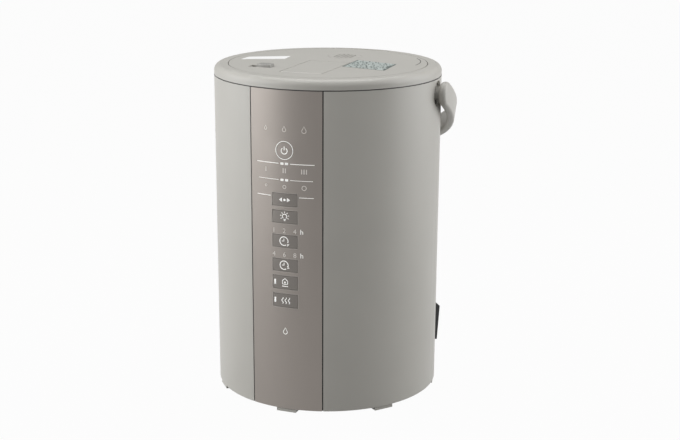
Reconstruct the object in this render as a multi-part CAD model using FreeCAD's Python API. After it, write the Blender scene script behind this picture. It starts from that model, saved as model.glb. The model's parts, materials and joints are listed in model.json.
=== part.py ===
import FreeCAD, Part
import math
import os

# Steam humidifier with a bail handle, modelled as the pieces it comes apart into.
# Millimetres. The origin is on the body's axis, on the surface that the feet stand on.
# +Z is up and the control panel faces -Y. Azimuth 0 is the panel, growing towards +X.

V = FreeCAD.Vector

# Body
body_seam_radius = 107.5
body_taper = 0.8
foot_height = 3.0
ring_height = 9.5
shell_wall = 2.5
shell_lift = 0.5
seam_gap = 0.5
split_y = 9.6
split_gap = 0.4
fit_gap = 0.3
face_gap = 0.15
slide_gap = 0.3

# Base
base_thickness = 3.0
pillar_radius = 5.0
pillar_inset = 10.2
pillar_gap = 5.0
shell_boss_radius = 5.2
shell_boss_height = 20.0
shell_boss_azimuths = (-155.0, -60.0, 60.0, 155.0)
screw_radius = 2.0
screw_head_radius = 3.8
screw_head_height = 1.8
screw_depth = 14.0
head_clearance = 0.4
foot_count = 7
foot_width = 19.0
foot_depth = 8.0
foot_inset = 1.0

# Front panel and keys
panel_half_angle = 18.6
channel_half_angle = 19.2
channel_side_angle = 21.5
panel_thickness = 2.0
channel_wall = 2.3
key_width = 24.0
key_depth = 1.1
key_gap = 0.25
key_travel = 0.8
stem_width = 8.0
stem_height = 5.0
power_key_radius = 7.5
power_key_drop = 54.5
key_height = 11.3
tall_key_height = 12.3
# Each key's middle below the seam, and its height
key_drops = {
    "key_select": (99.8, key_height),
    "key_light": (115.6, key_height),
    "key_off_timer": (138.3, key_height),
    "key_on_timer": (161.0, key_height),
    "key_lock": (177.4, tall_key_height),
    "key_saver": (194.7, tall_key_height),
}

# Control board behind the panel
board_setback = 11.4
board_thickness = 1.6
board_half_width = 28.0
board_low_margin = 16.6
board_high_margin = 8.0
board_screw_x = 24.0
board_screw_inset = 8.0
board_boss_radius = 3.2
board_screw_radius = 1.3
board_screw_head = 2.6
mat_thickness = 1.4
mat_half_width = 12.0
mat_margin = 5.0
dome_radius = 3.5
dome_height = 1.0
led_size = 3.0
led_height = 1.2
led_pitch = 18.0
level_lamp_drop = 35.2
mode_lamp_drop = 73.0
power_lamp_drop = 87.9

# Lid, from its top face downwards
lid_top_z = 313.5
ring_width = 13.0
lid_plate = 2.5
lid_gap = 0.7
skirt_wall = 2.6
skirt_taper = 0.6
lever_barrel_radius = 3.5
pocket_gap = 0.7
pocket_floor = 1.5
pocket_wall = 2.2
bolt_thickness = 2.4
inner_lid_thickness = 1.4
lid_gasket_thickness = 0.7
seal_gap = 0.2
lip_thickness = 1.5
lip_width = 8.5
ring_round = 6.0

# Lid hinge
hinge_barrel_radius = 2.7
hinge_pin_radius = 1.3
hinge_half_width = 29.0
hinge_setback = 1.2
hinge_leaf = 14.0
hinge_pin_grip = 8.0
hinge_gap = 0.5
run_gap = 0.05

# Opening lever and latch bolt
lever_half_width = 20.0
lever_axis_y = -66.0
lever_rear_y = 5.5
lever_plate = 3.0
lever_pin_radius = 1.5
lever_pin_grip = 2.0
tang_half_width = 5.0
tang_half_depth = 2.0
bolt_half_width = 12.0
bolt_rear_y = -52.0
bolt_catch = 3.6
catch_gap = 0.9
window_gap = 0.6
window_half_depth = 4.2

# Lock slider on the lid
lock_inset = 49.8
lock_y = -47.0
lock_width = 14.0
lock_depth = 10.0
lock_rise = 3.0
lock_travel = 8.0
lock_slot_gap = 0.5
lock_tail_side = 6.0
lock_tail = 2.0
rail_wall = 1.7
rail_lip = 2.3

# Steam outlet in the lid
steam_y = 45.0
steam_bore = 10.0
steam_tube_wall = 2.0
steam_cap_radius = 16.0
steam_flange_radius = 18.0
steam_flange = 1.5
steam_slot = 1.6
steam_slot_pitch = 4.0
steam_slot_reach = 12.0
lid_boss_radius = 4.0
lid_boss_inset = 4.0
lid_boss_azimuths = (-110.0, -40.0, 40.0, 110.0)

# Inner vessel and heater
vessel_setback = 21.0
vessel_wall = 1.0
vessel_bottom_z = 98.0
vessel_flange_cover = 6.0
vessel_gasket_thickness = 1.5
gasket_inset = 0.5
gasket_width = 4.5
stand_inset = 4.0
stand_wall = 1.5
shield_thickness = 1.2
shield_z = 70.0
heater_inset = 28.0
heater_thickness = 5.5
clamp_half_width = 9.0
clamp_thickness = 3.0
sensor_radius = 4.0
sensor_hole = 6.0
sensor_length = 14.0
fuse_length = 16.0
fuse_width = 7.0
fuse_height = 3.5
fuse_x = 35.0

# Power board
power_half_width = 45.0
power_setback = 31.0
power_depth = 56.0
power_lift = 14.0
power_post_radius = 4.0
power_post_inset = 6.0
power_board_thickness = 1.6
transformer_size = 24.0
transformer_height = 18.0
transformer_inset = 9.0
relay_width = 14.0
relay_depth = 19.0
relay_height = 15.0
capacitor_radius = 6.0
capacitor_height = 22.0
capacitor_spacing = 16.0
terminal_width = 10.0
terminal_depth = 12.0
terminal_height = 12.0
terminal_inset = 5.0
component_gap = 4.0

# Fan and air duct
fan_setback = 44.0
fan_housing_radius = 33.5
fan_wall = 1.5
fan_lift = 2.0
fan_height = 23.0
fan_inlet_radius = 22.0
fan_leg_radius = 3.0
rotor_radius = 29.0
rotor_inner_radius = 14.0
rotor_hub_radius = 8.0
rotor_gap = 2.5
rotor_plate = 1.5
blade_count = 9
blade_thickness = 1.6
motor_radius = 12.0
motor_height = 13.0
shaft_radius = 1.5
shaft_end_gap = 1.0
duct_half_width = 20.0
duct_vessel_gap = 2.5
duct_setback = 9.0
duct_neck_rise = 3.0
duct_top_drop = 14.0
duct_wall = 1.2
grille_slot = 3.0
grille_pitch = 8.0
grille_count = 5
grille_half_length = 18.0

# Power inlet, at its azimuth round the body
inlet_azimuth = 128.0
inlet_half_width = 25.0
inlet_depth = 18.5
inlet_proud = 2.6
inlet_low_proud = 0.3
inlet_low_z = 34.5
inlet_top_z = 72.0
inlet_chamfer = 3.0
socket_half_width = 15.0
socket_margin = 10.0
socket_depth = 10.0
inlet_pin_radius = 2.0
inlet_pin_x = 9.0
inlet_pin_stub = 4.5
inlet_pin_reach = 7.5
magnet_x = 12.0
magnet_half_width = 1.6
magnet_half_height = 6.0
magnet_thickness = 2.0

# Bail handle
pivot_drop = 14.3
pivot_setback = 6.0
pivot_pin_radius = 5.0
pivot_hole_radius = 10.3
pivot_flare = 2.0
cup_sink = 3.54
cup_length = 10.3
cup_flange_radius = 13.0
cup_flange_length = 6.0
knuckle_radius = 11.3
knuckle_length = 13.5
knuckle_boss_wall = 1.5
handle_band = 7.4
handle_straight = 4.0
handle_clear = 44.5
handle_tilt = 27.3
handle_round = 2.2
pin_grip = 9.0

# Worked out from the sizes above
seam_z = lid_top_z - ring_height
body_bottom_radius = body_seam_radius - body_taper
base_z = foot_height
base_top_z = base_z + base_thickness
shell_low_z = base_z + shell_lift
ring_low_z = seam_z + seam_gap
lid_under_z = lid_top_z - lid_plate
lever_axis_z = lid_top_z - lever_barrel_radius
pocket_top_z = lever_axis_z - lever_barrel_radius - pocket_gap
pocket_under_z = pocket_top_z - pocket_floor
bolt_top_z = pocket_under_z - slide_gap
bolt_low_z = bolt_top_z - bolt_thickness
inner_lid_top_z = bolt_low_z - slide_gap
inner_lid_low_z = inner_lid_top_z - inner_lid_thickness
lid_gasket_low_z = inner_lid_low_z - lid_gasket_thickness
lip_top_z = lid_gasket_low_z - seal_gap
ring_skirt_z = lip_top_z - lip_thickness
flange_top_z = ring_skirt_z - vessel_gasket_thickness
flange_low_z = flange_top_z - vessel_wall
ring_inner_radius = body_seam_radius - ring_width
lid_radius = ring_inner_radius - lid_gap
lip_radius = ring_inner_radius - lip_width
gasket_low_radius = lip_radius + gasket_inset
gasket_high_radius = gasket_low_radius + gasket_width
inner_lid_radius = lid_radius - skirt_taper
hinge_y = lid_radius + hinge_setback
hinge_z = lid_top_z - hinge_barrel_radius
lid_boss_circle = lip_radius - lid_boss_inset
lock_x = -(lid_radius - lock_inset)
channel_depth = panel_thickness + face_gap
power_key_z = seam_z - power_key_drop
key_rows = {name: (seam_z - drop, height) for name, (drop, height) in key_drops.items()}
led_columns = (-led_pitch, 0.0, led_pitch)
led_rows = [seam_z - drop for drop in (level_lamp_drop, mode_lamp_drop, power_lamp_drop)]
board_y = -(body_bottom_radius - board_setback)
board_low_z = min(z for z, height in key_rows.values()) - board_low_margin
board_high_z = max(led_rows) + board_high_margin
vessel_radius = body_bottom_radius - vessel_setback
vessel_flange_radius = lip_radius + vessel_flange_cover
stand_radius = vessel_radius - stand_inset
shield_radius = vessel_radius
heater_radius = vessel_radius - heater_inset
power_front_y = -(body_bottom_radius - power_setback)
power_rear_y = power_front_y + power_depth
pillar_x = power_half_width + pillar_gap + pillar_radius
pillar_y = math.sqrt((shield_radius - pillar_inset) ** 2 - pillar_x ** 2)
duct_front_y = vessel_radius + duct_vessel_gap
duct_rear_y = body_bottom_radius - duct_setback
duct_top_z = seam_z - duct_top_drop
fan_y = duct_rear_y - fan_setback
inlet_face_radius = body_bottom_radius + inlet_proud
inlet_back_radius = inlet_face_radius - inlet_depth
inlet_low_radius = body_bottom_radius + inlet_low_proud
inlet_foot_radius = math.sqrt((body_bottom_radius - shell_wall - fit_gap) ** 2 - inlet_half_width ** 2)
socket_low_z = inlet_low_z + socket_margin
socket_high_z = inlet_top_z - socket_margin
pivot_z = seam_z - pivot_drop
handle_reach = body_seam_radius + handle_clear
knuckle_boss_radius = pivot_pin_radius + knuckle_boss_wall
all_round = 360.0
far = 2 * (lid_top_z + handle_reach)


def body_radius(z):
    """Outer radius of the tapered body at a height."""
    share = (z - foot_height) / (seam_z - foot_height)
    return body_bottom_radius + share * (body_seam_radius - body_bottom_radius)


cup_outer_x = body_radius(pivot_z) - cup_sink
pivot_x = cup_outer_x + fit_gap
handle_outer_x = pivot_x + knuckle_length


def direction(azimuth):
    """Unit vector in plan at an azimuth."""
    turn = math.radians(azimuth)
    return V(math.sin(turn), -math.cos(turn), 0)


def box(x_low, x_high, y_low, y_high, z_low, z_high):
    """Box between two corners."""
    corner = V(x_low, y_low, z_low)
    return Part.makeBox(x_high - x_low, y_high - y_low, z_high - z_low, corner)


def post(radius, z_low, z_high, x=0.0, y=0.0):
    """Upright cylinder."""
    return Part.makeCylinder(radius, z_high - z_low, V(x, y, z_low))


def pipe(outer, inner, z_low, z_high, x=0.0, y=0.0):
    """Upright tube."""
    return post(outer, z_low, z_high, x, y).cut(post(inner, z_low, z_high, x, y))


def bar_x(radius, x_low, x_high, y, z):
    """Cylinder along X."""
    return Part.makeCylinder(radius, x_high - x_low, V(x_low, y, z), V(1, 0, 0))


def bar_y(radius, y_low, y_high, x, z):
    """Cylinder along Y."""
    return Part.makeCylinder(radius, y_high - y_low, V(x, y_low, z), V(0, 1, 0))


def spun(points):
    """Solid of revolution about the body's axis from (radius, z) points."""
    corners = [V(radius, 0, z) for radius, z in points]
    face = Part.Face(Part.makePolygon(corners + corners[:1]))
    return face.revolve(V(0, 0, 0), V(0, 0, 1), all_round)


def wall_band(outer_depth, inner_depth, z_low, z_high):
    """Band of the tapered body between two depths under its outer face."""
    low = body_radius(z_low)
    high = body_radius(z_high)
    return spun([
        (low - inner_depth, z_low),
        (low - outer_depth, z_low),
        (high - outer_depth, z_high),
        (high - inner_depth, z_high),
    ])


def wedge(half_angle, z_low, z_high):
    """Wedge from the axis out through the panel side, for cutting sectors."""
    left = direction(-half_angle) * far
    right = direction(half_angle) * far
    corners = [V(0, 0, z_low), left + V(0, 0, z_low), right + V(0, 0, z_low)]
    return Part.Face(Part.makePolygon(corners + corners[:1])).extrude(V(0, 0, z_high - z_low))


def at_azimuth(shape, azimuth):
    """Copy of a shape made at the panel side, turned round the axis to an azimuth."""
    turned = shape.copy()
    turned.rotate(V(0, 0, 0), V(0, 0, 1), azimuth)
    return turned


def mirrored(shape):
    """Shape and its mirror image across the YZ plane."""
    return [shape, shape.mirror(V(0, 0, 0), V(1, 0, 0))]


def joined(shapes):
    """One solid from several that touch."""
    return shapes[0].fuse(shapes[1:]).removeSplitter()


def save(name, shapes):
    """Write one node from a shape or a list of separate solids."""
    pieces = shapes if isinstance(shapes, list) else [shapes]
    solids = [solid for piece in pieces for solid in piece.Solids]
    valid = all(solid.isValid() for solid in solids)
    volume = sum(solid.Volume for solid in solids)
    print(f"{name}: {len(solids)} solids, {volume:.0f} mm3, valid {valid}")
    result = solids[0] if len(solids) == 1 else Part.makeCompound(solids)
    result.exportStep(f"parts/{name}.step")


def shell_boss_centre(azimuth):
    """Plan position of a boss that merges with the shell's inner face."""
    return direction(azimuth) * (body_radius(base_top_z) - shell_wall - shell_boss_radius + fit_gap)


def pillar_centres():
    """Plan positions of the four pillars that carry the heat shield."""
    return [(x, y) for x in (-pillar_x, pillar_x) for y in (-pillar_y, pillar_y)]


def power_posts():
    """Plan positions of the posts under the power board."""
    x = power_half_width - power_post_inset
    low = power_front_y + power_post_inset
    high = power_rear_y - power_post_inset
    return [(side * x, y) for side in (-1, 1) for y in (low, high)]


def channel_room(z_low, z_high):
    """Space that the thicker wall of the panel channel takes inside the body, with clearance."""
    room = wall_band(-shell_wall, channel_depth + channel_wall + fit_gap, z_low, z_high)
    clear_angle = channel_side_angle + math.degrees(fit_gap / body_bottom_radius)
    return room.common(wedge(clear_angle, z_low, z_high))


def make_base():
    """Base disc with its pillars, posts, air slots and screw holes."""
    radius = body_radius(shell_low_z) - shell_wall - fit_gap
    base = post(radius, base_z, base_top_z)
    pillars = [post(pillar_radius, base_z, shield_z, x, y) for x, y in pillar_centres()]
    posts = [post(power_post_radius, base_z, base_top_z + power_lift, x, y) for x, y in power_posts()]
    base = joined([base] + pillars + posts).cut(channel_room(base_z, base_top_z))
    for x, y in pillar_centres():
        base = base.cut(post(screw_radius, shield_z - screw_depth, shield_z, x, y))
    for azimuth in shell_boss_azimuths:
        spot = shell_boss_centre(azimuth)
        sunk = base_z + head_clearance + screw_head_height
        base = base.cut(post(screw_head_radius + head_clearance, base_z, sunk, spot.x, spot.y))
        base = base.cut(post(screw_radius + head_clearance, sunk, base_top_z, spot.x, spot.y))
    for index in range(grille_count):
        x = (index - (grille_count - 1) / 2) * grille_pitch
        base = base.cut(box(x - grille_slot / 2, x + grille_slot / 2, fan_y - grille_half_length,
                            fan_y + grille_half_length, base_z, base_top_z))
    save("base_tray", base)


def make_feet():
    """Tabs round the base's edge that the body stands on."""
    outer = body_bottom_radius - foot_inset
    foot = box(-foot_width / 2, foot_width / 2, -outer, -outer + foot_depth, 0, foot_height)
    step = all_round / foot_count
    save("feet", [at_azimuth(foot, index * step) for index in range(foot_count)])


def screw(x, y, head_z, up):
    """Screw with its head at head_z and its shank running up or down."""
    way = 1 if up else -1
    head_end = head_z + way * screw_head_height
    tip = head_end + way * screw_depth
    head = post(screw_head_radius, min(head_z, head_end), max(head_z, head_end), x, y)
    shank = post(screw_radius, min(head_end, tip), max(head_end, tip), x, y)
    return joined([head, shank])


def make_screws():
    """Screws that hold the shells to the base, and the heat shield to its pillars."""
    spots = [shell_boss_centre(azimuth) for azimuth in shell_boss_azimuths]
    save("base_screws", [screw(spot.x, spot.y, base_z + head_clearance, True) for spot in spots])
    top = shield_z + shield_thickness + screw_head_height
    save("shield_screws", [screw(x, y, top, False) for x, y in pillar_centres()])


def shell_bosses(azimuths):
    """Screw bosses of a shell, standing on the base."""
    bosses = []
    for azimuth in azimuths:
        spot = shell_boss_centre(azimuth)
        bosses.append(post(shell_boss_radius, base_top_z, base_top_z + shell_boss_height, spot.x, spot.y))
    return bosses


def screw_holes(shape, azimuths):
    """Cut the blind holes for the base screws."""
    for azimuth in azimuths:
        spot = shell_boss_centre(azimuth)
        tip = base_z + head_clearance + screw_head_height + screw_depth
        shape = shape.cut(post(screw_radius, base_top_z, tip, spot.x, spot.y))
    return shape


def pivot_holes(shape):
    """Cut the flared round openings for the handle's pivots, on both sides."""
    flare = Part.makeCone(pivot_hole_radius, pivot_hole_radius + 2 * pivot_flare, 2 * shell_wall,
                          V(body_radius(pivot_z) - shell_wall, pivot_setback, pivot_z), V(1, 0, 0))
    for side_flare in mirrored(flare):
        shape = shape.cut(side_flare)
    return shape.cut(bar_x(pivot_hole_radius, -far, far, pivot_setback, pivot_z))


def channel_y(z, x, depth):
    """Y of the panel channel's wall at a depth under the outer face."""
    return -math.sqrt((body_radius(z) - depth) ** 2 - x * x)


def board_screw_spots():
    """Places (x, z) of the control board's screws."""
    heights = (board_low_z + board_screw_inset, board_high_z - board_screw_inset)
    return [(side * board_screw_x, z) for side in (-1, 1) for z in heights]


def key_outline(z, height, grow, y_low, y_high):
    """Block with a rectangular key's outline, grown by a clearance."""
    half_x = key_width / 2 + grow
    half_z = height / 2 + grow
    return box(-half_x, half_x, y_low, y_high, z - half_z, z + half_z)


def stem_block(z, grow, y_low, y_high):
    """Block with a key stem's outline, grown by a clearance."""
    half_x = stem_width / 2 + grow
    half_z = stem_height / 2 + grow
    return box(-half_x, half_x, y_low, y_high, z - half_z, z + half_z)


def make_shells():
    """Front shell with its recessed panel channel, and the plain rear shell."""
    tube = wall_band(0, shell_wall, shell_low_z, seam_z)
    front_half = box(-far, far, -far, split_y - split_gap / 2, 0, far)
    rear_half = box(-far, far, split_y + split_gap / 2, far, 0, far)
    thick = wall_band(0, channel_depth + channel_wall, shell_low_z, seam_z)
    front = joined([tube.common(front_half), thick.common(wedge(channel_side_angle, 0, far))])
    recess = wall_band(-shell_wall, channel_depth, 0, far)
    front = front.cut(recess.common(wedge(channel_half_angle, 0, far)))
    bosses = shell_bosses([a for a in shell_boss_azimuths if abs(a) < 90])
    for x, z in board_screw_spots():
        wall_y = channel_y(z, x, channel_depth + channel_wall / 2)
        bosses.append(bar_y(board_boss_radius, wall_y, board_y, x, z))
    front = joined([front] + bosses)
    front = screw_holes(front, [a for a in shell_boss_azimuths if abs(a) < 90])
    for x, z in board_screw_spots():
        front = front.cut(bar_y(board_screw_radius, board_y - board_screw_inset / 2, board_y, x, z))
    for z in [power_key_z] + [row[0] for row in key_rows.values()]:
        front = front.cut(stem_block(z, key_gap * 2, -far, board_y))
    save("front_shell", pivot_holes(front))

    rear = joined([tube.common(rear_half)] + shell_bosses([a for a in shell_boss_azimuths if abs(a) > 90]))
    rear = screw_holes(rear, [a for a in shell_boss_azimuths if abs(a) > 90])
    reach = inlet_half_width + fit_gap
    window = box(-reach, reach, -far, -inlet_back_radius, inlet_low_z - fit_gap, inlet_top_z + fit_gap)
    save("rear_shell", pivot_holes(rear.cut(at_azimuth(window, inlet_azimuth))))


def make_panel():
    """Curved front panel with a hole for each key."""
    panel = wall_band(0, panel_thickness, shell_low_z, seam_z)
    panel = panel.common(wedge(panel_half_angle, 0, far))
    for z, height in key_rows.values():
        panel = panel.cut(key_outline(z, height, key_gap, -far, 0))
    panel = panel.cut(bar_y(power_key_radius + key_gap, -far, 0, 0, power_key_z))
    save("front_panel", panel)


def make_keys():
    """Key caps flush with the panel, each on a stem that reaches the keypad mat."""
    skin = wall_band(0, key_depth, shell_low_z, seam_z)
    stem_end = board_y - mat_thickness - dome_height - key_travel - seal_gap / 2
    caps = {"key_power": (power_key_z, bar_y(power_key_radius, -far, 0, 0, power_key_z))}
    for name, (z, height) in key_rows.items():
        caps[name] = (z, key_outline(z, height, 0, -far, 0))
    for name, (z, outline) in caps.items():
        stem_start = -(body_radius(z) - key_depth)
        stem = stem_block(z, 0, stem_start - key_depth / 2, stem_end)
        save(name, joined([skin.common(outline), stem]))


def make_control_board():
    """Board, its screws, the silicone keypad mat and the indicator lamps."""
    board = box(-board_half_width, board_half_width, board_y, board_y + board_thickness,
                board_low_z, board_high_z)
    screws = []
    for x, z in board_screw_spots():
        board = board.cut(bar_y(board_screw_radius, board_y, board_y + board_thickness, x, z))
        back = board_y + board_thickness
        head = bar_y(board_screw_head, back, back + screw_head_height, x, z)
        screws.append(joined([head, bar_y(board_screw_radius, board_y - board_screw_inset / 2, back, x, z)]))
    save("control_board", board)
    save("board_screws", screws)

    rows = [row[0] for row in key_rows.values()]
    mat_y = board_y - mat_thickness
    low = min(rows) - dome_radius - mat_margin
    high = max(rows) + dome_radius + mat_margin
    power_low = power_key_z - dome_radius - mat_margin
    power_high = power_key_z + dome_radius + mat_margin
    pads = [
        box(-mat_half_width, mat_half_width, mat_y, board_y, low, high),
        box(-mat_half_width, mat_half_width, mat_y, board_y, power_low, power_high),
        box(mat_half_width - mat_margin, mat_half_width, mat_y, board_y, high, power_low),
    ]
    domes = [bar_y(dome_radius, mat_y - dome_height, mat_y, 0, z) for z in rows + [power_key_z]]
    save("keypad_mat", joined(pads + domes))

    lamps = []
    for x in led_columns:
        for z in led_rows:
            lamps.append(box(x - led_size / 2, x + led_size / 2, board_y - led_height, board_y,
                             z - led_size / 2, z + led_size / 2))
    save("indicator_lamps", lamps)


def ring_section():
    """Section of the top ring, with its rounded outer edge."""
    outer = body_seam_radius
    skirt = body_radius(ring_skirt_z) - shell_wall - fit_gap
    round_z = lid_top_z - ring_round
    middle = ring_round * math.sqrt(0.5)
    arc_start = V(outer, 0, round_z)
    arc_middle = V(outer - ring_round + middle, 0, round_z + middle)
    arc_end = V(outer - ring_round, 0, lid_top_z)
    edges = [Part.Arc(arc_start, arc_middle, arc_end).toShape()]
    corners = [
        arc_end,
        V(ring_inner_radius, 0, lid_top_z),
        V(ring_inner_radius, 0, lip_top_z),
        V(lip_radius, 0, lip_top_z),
        V(lip_radius, 0, ring_skirt_z),
        V(skirt, 0, ring_skirt_z),
        V(skirt, 0, ring_low_z),
        V(outer, 0, ring_low_z),
        arc_start,
    ]
    for start, end in zip(corners, corners[1:]):
        edges.append(Part.LineSegment(start, end).toShape())
    return Part.Face(Part.Wire(edges))


def make_ring():
    """Top ring that holds the lid's hinge, the latch's catch and the vessel's rim."""
    ring = ring_section().revolve(V(0, 0, 0), V(0, 0, 1), all_round)
    ring = ring.cut(channel_room(ring_skirt_z, ring_low_z))
    half = hinge_half_width + hinge_gap
    notch_rear = hinge_y + hinge_barrel_radius + hinge_gap
    notch_low = hinge_z - hinge_barrel_radius - hinge_gap
    ring = ring.cut(box(-half, half, 0, notch_rear, notch_low, far))
    reach = half + hinge_pin_grip
    ring = ring.cut(bar_x(hinge_pin_radius, -reach, reach, hinge_y, hinge_z))
    catch_half = bolt_half_width + catch_gap
    catch_y = -(lid_radius + bolt_catch + catch_gap)
    ring = ring.cut(box(-catch_half, catch_half, catch_y, 0, bolt_low_z - slide_gap, bolt_top_z + slide_gap))
    save("top_ring", ring)
    save("hinge_pin", bar_x(hinge_pin_radius, -reach, reach, hinge_y, hinge_z))


def lid_boss_spots():
    """Plan positions of the lid's screw bosses."""
    return [direction(azimuth) * lid_boss_circle for azimuth in lid_boss_azimuths]


def lock_tail_size():
    """Half sizes, in plan, of the lock slider's hidden tail."""
    return lock_width / 2 + lock_tail_side, lock_depth / 2 + rail_lip + fit_gap


def lock_rails():
    """Rails under the lid that carry the lock slider's tail."""
    half_x, half_y = lock_tail_size()
    tail_low = lid_under_z - slide_gap - lock_tail
    shelf_top = tail_low - slide_gap
    rails = []
    for side in (-1, 1):
        near = lock_y + side * (half_y - rail_lip)
        inner = lock_y + side * (half_y + fit_gap)
        outer = inner + side * rail_wall
        x_low = lock_x - half_x - lock_travel
        x_high = lock_x + half_x
        rails.append(box(x_low, x_high, min(inner, outer), max(inner, outer), shelf_top - rail_wall,
                         lid_under_z))
        rails.append(box(x_low, x_high, min(near, outer), max(near, outer), shelf_top - rail_wall, shelf_top))
    return rails


def make_lid_cover():
    """Lid cover: plate, tapered skirt, hinge leaf, lever pocket, lock rails and bosses."""
    plate = post(lid_radius, lid_under_z, lid_top_z)
    skirt = spun([
        (lid_radius, lid_under_z),
        (lid_radius - skirt_taper, inner_lid_top_z),
        (lid_radius - skirt_taper - skirt_wall, inner_lid_top_z),
        (lid_radius - skirt_wall, lid_under_z),
    ])
    leaf = box(-hinge_half_width, hinge_half_width, hinge_y - hinge_leaf, hinge_y,
               hinge_z - hinge_barrel_radius, lid_top_z)
    barrel = bar_x(hinge_barrel_radius, -hinge_half_width, hinge_half_width, hinge_y, hinge_z)
    pocket_x = lever_half_width + pocket_gap
    pocket_front = lever_axis_y - lever_barrel_radius - pocket_gap
    pocket_rear = lever_rear_y + pocket_gap
    pocket = box(-pocket_x - pocket_wall, pocket_x + pocket_wall, pocket_front - pocket_wall,
                 pocket_rear + pocket_wall, pocket_under_z, lid_under_z)
    bosses = [post(lid_boss_radius, inner_lid_top_z, lid_under_z, s.x, s.y) for s in lid_boss_spots()]
    lid = joined([plate, skirt, leaf, barrel, pocket] + bosses + lock_rails())
    lid = lid.cut(box(-pocket_x, pocket_x, pocket_front, pocket_rear, pocket_top_z, far))
    tang_x = tang_half_width + window_gap
    lid = lid.cut(box(-tang_x, tang_x, lever_axis_y - tang_half_depth - window_gap,
                      lever_axis_y + tang_half_depth + window_half_depth + window_gap,
                      pocket_under_z, pocket_top_z))
    lever_reach = pocket_x + lever_pin_grip
    lid = lid.cut(bar_x(lever_pin_radius, -lever_reach, lever_reach, lever_axis_y, lever_axis_z))
    lid = lid.cut(bar_x(hinge_pin_radius + run_gap, -far, far, hinge_y, hinge_z))
    bolt_x = bolt_half_width + fit_gap
    lid = lid.cut(box(-bolt_x, bolt_x, -far, bolt_rear_y, 0, bolt_top_z + slide_gap))
    slot_low = lock_x - lock_width / 2 - lock_travel - lock_slot_gap
    slot_high = lock_x + lock_width / 2 + lock_slot_gap
    slot_half = lock_depth / 2 + fit_gap
    lid = lid.cut(box(slot_low, slot_high, lock_y - slot_half, lock_y + slot_half, lid_under_z, far))
    lid = lid.cut(post(steam_cap_radius + fit_gap, lid_under_z, far, 0, steam_y))
    for spot in lid_boss_spots():
        lid = lid.cut(post(board_screw_radius, inner_lid_top_z, lid_under_z - lid_plate, spot.x, spot.y))
    save("lid_cover", lid)
    save("lever_pin", bar_x(lever_pin_radius, -lever_reach, lever_reach, lever_axis_y, lever_axis_z))


def make_inner_lid():
    """Inner lid, its gasket and the screws that hold it to the cover."""
    inner = post(inner_lid_radius, inner_lid_low_z, inner_lid_top_z)
    inner = inner.cut(post(steam_bore, 0, far, 0, steam_y))
    screws = []
    for spot in lid_boss_spots():
        inner = inner.cut(post(board_screw_radius, 0, far, spot.x, spot.y))
        head = post(board_screw_head, inner_lid_low_z - screw_head_height, inner_lid_low_z, spot.x, spot.y)
        shank = post(board_screw_radius, inner_lid_low_z, lid_under_z - lid_plate, spot.x, spot.y)
        screws.append(joined([head, shank]))
    save("inner_lid", inner)
    save("lid_screws", screws)
    save("lid_gasket", pipe(gasket_high_radius, gasket_low_radius, lid_gasket_low_z, inner_lid_low_z))


def make_steam_outlet():
    """Steam tube between the inner lid and the slotted cap in the lid's top."""
    tube_radius = steam_bore + steam_tube_wall
    flange_low = lid_under_z - steam_flange
    duct = joined([
        post(tube_radius, inner_lid_top_z, flange_low, 0, steam_y),
        post(steam_flange_radius, flange_low, lid_under_z, 0, steam_y),
    ])
    save("steam_tube", duct.cut(post(steam_bore, 0, far, 0, steam_y)))
    cap = post(steam_cap_radius, lid_under_z, lid_top_z, 0, steam_y)
    steps = int((steam_slot_reach - steam_slot) // steam_slot_pitch)
    for index in range(-steps, steps + 1):
        x = index * steam_slot_pitch
        half = math.sqrt(steam_slot_reach ** 2 - x * x)
        cap = cap.cut(box(x - steam_slot / 2, x + steam_slot / 2, steam_y - half, steam_y + half, 0, far))
    save("steam_cap", cap)


def make_lever_and_bolt():
    """Lid-opening lever with its tang, and the latch bolt that the tang draws back."""
    barrel = bar_x(lever_barrel_radius, -lever_half_width, lever_half_width, lever_axis_y, lever_axis_z)
    plate = box(-lever_half_width, lever_half_width, lever_axis_y, lever_rear_y,
                lid_top_z - lever_plate, lid_top_z)
    tang = box(-tang_half_width, tang_half_width, lever_axis_y - tang_half_depth,
               lever_axis_y + tang_half_depth, bolt_low_z, lever_axis_z)
    lever = joined([barrel, plate, tang])
    save("lid_lever", lever.cut(bar_x(lever_pin_radius + run_gap, -far, far, lever_axis_y, lever_axis_z)))
    bolt = box(-bolt_half_width, bolt_half_width, -(lid_radius + bolt_catch), bolt_rear_y,
               bolt_low_z, bolt_top_z)
    window_x = tang_half_width + window_gap
    bolt = bolt.cut(box(-window_x, window_x, lever_axis_y - window_half_depth,
                        lever_axis_y + window_half_depth, 0, far))
    save("latch_bolt", bolt)


def make_lock():
    """Lock slider: a knob through the lid's slot on a tail that runs in the rails."""
    half_x, half_y = lock_tail_size()
    tail_high = lid_under_z - slide_gap
    knob = box(lock_x - lock_width / 2, lock_x + lock_width / 2, lock_y - lock_depth / 2,
               lock_y + lock_depth / 2, tail_high, lid_top_z + lock_rise)
    tail = box(lock_x - half_x, lock_x + half_x, lock_y - half_y, lock_y + half_y,
               tail_high - lock_tail, tail_high)
    save("lock_slider", joined([knob, tail]))


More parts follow.
